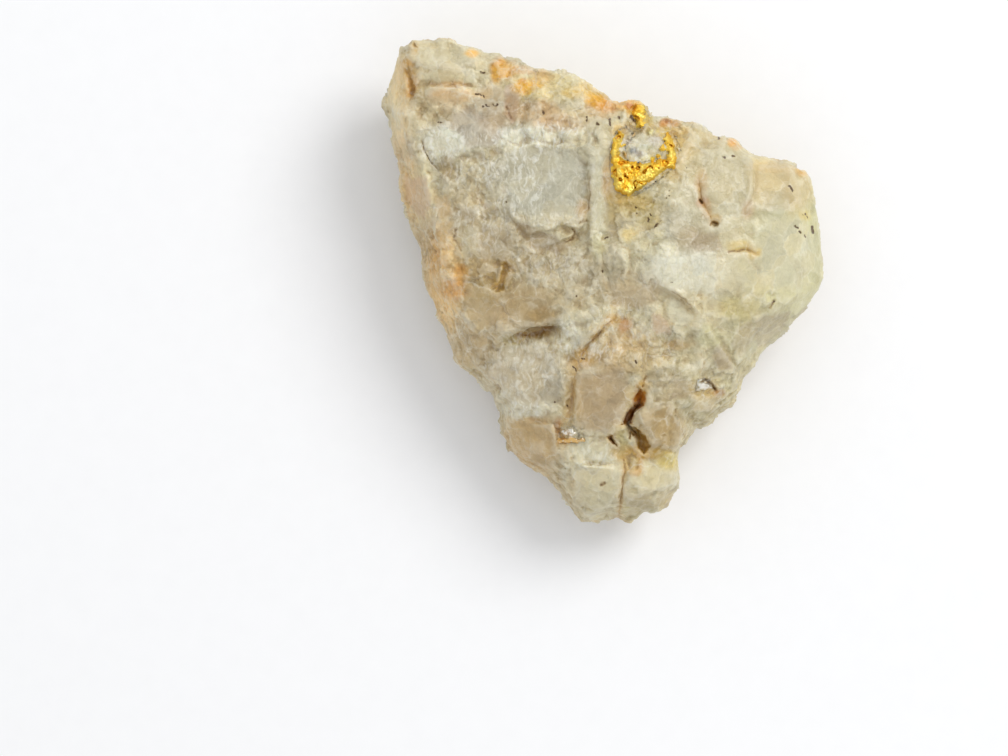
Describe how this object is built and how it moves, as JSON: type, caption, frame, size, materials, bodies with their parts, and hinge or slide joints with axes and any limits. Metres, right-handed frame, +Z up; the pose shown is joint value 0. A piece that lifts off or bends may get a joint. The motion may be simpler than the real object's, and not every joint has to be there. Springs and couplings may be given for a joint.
{
  "type": "gold in quartz specimen",
  "caption": "Broken triangular piece of milky vein quartz with a horseshoe of native gold and a gold bead near its upper edge, lying on its flat fracture face",
  "frame": {"origin": "middle of the stone's bounding box, on the plane that its flat fracture face rests on", "axes": "+Z up out of the side that shows the gold; +Y towards the upper edge in the picture, the long way of the stone; +X towards the blunt right corner"},
  "size_m": [0.0444, 0.0486, 0.0175],
  "materials": {
    "milky_quartz": "milky translucent vein quartz, broken, with frosted ledges, ochre stains and dark pits",
    "native_gold": "hackly native gold, rich yellow, dark in its hollows",
    "bright_grain": "bright metallic-looking grain, pale silver to bronze"
  },
  "bodies": {
    "root": {"quartz": "milky_quartz", "gold_mass": "native_gold", "gold_bead": "native_gold", "metal_grain_lower": "bright_grain", "metal_grain_right": "bright_grain"}
  },
  "joints": []
}
